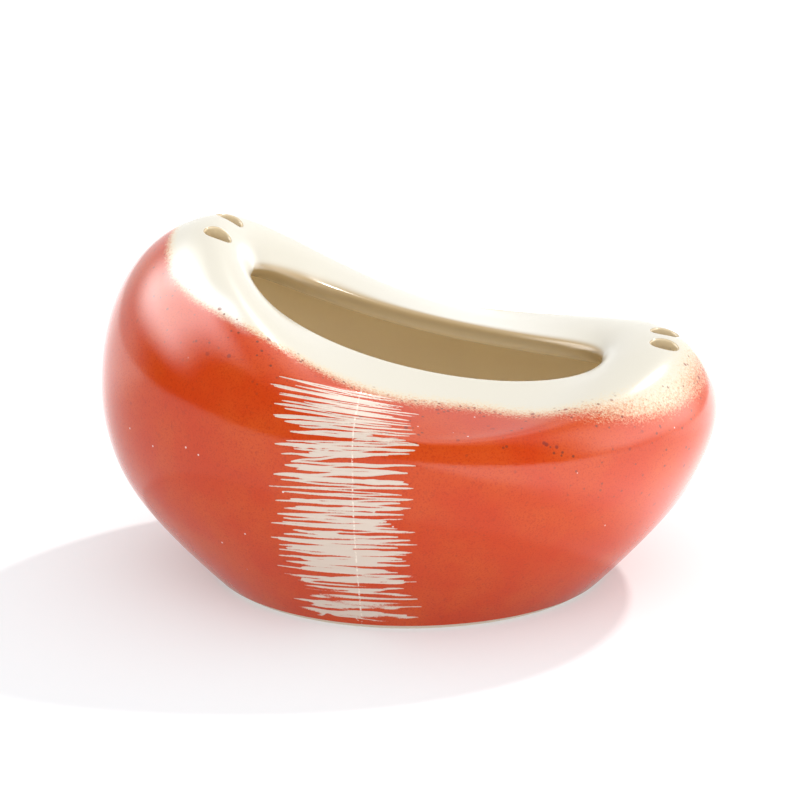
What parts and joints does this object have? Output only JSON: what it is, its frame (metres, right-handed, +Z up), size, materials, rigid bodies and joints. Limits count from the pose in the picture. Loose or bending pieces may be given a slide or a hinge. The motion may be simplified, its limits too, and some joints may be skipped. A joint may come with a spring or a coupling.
{
  "type": "hanging vase",
  "caption": "Low oval glazed ceramic vase with a dipped, rolled rim round an oval mouth, round cord holes through both ends and a foot ring to stand on.",
  "frame": {"origin": "on the ground under the middle of the vase's length and width", "axes": "+Z up; +X along the vase's length, towards its low end; -Y towards the side with the scratched band"},
  "size_m": [0.2013, 0.1556, 0.1144],
  "materials": {
    "fired_clay": "unglazed, matt, fine-grained pale clay",
    "red_glaze": "glossy sprayed red-orange glaze with fine specks and a scratched band",
    "cream_glaze": "glossy opaque cream glaze"
  },
  "bodies": {
    "root": {"clay_body": "fired_clay", "red_glaze": "red_glaze", "cream_glaze": "cream_glaze"}
  },
  "joints": []
}
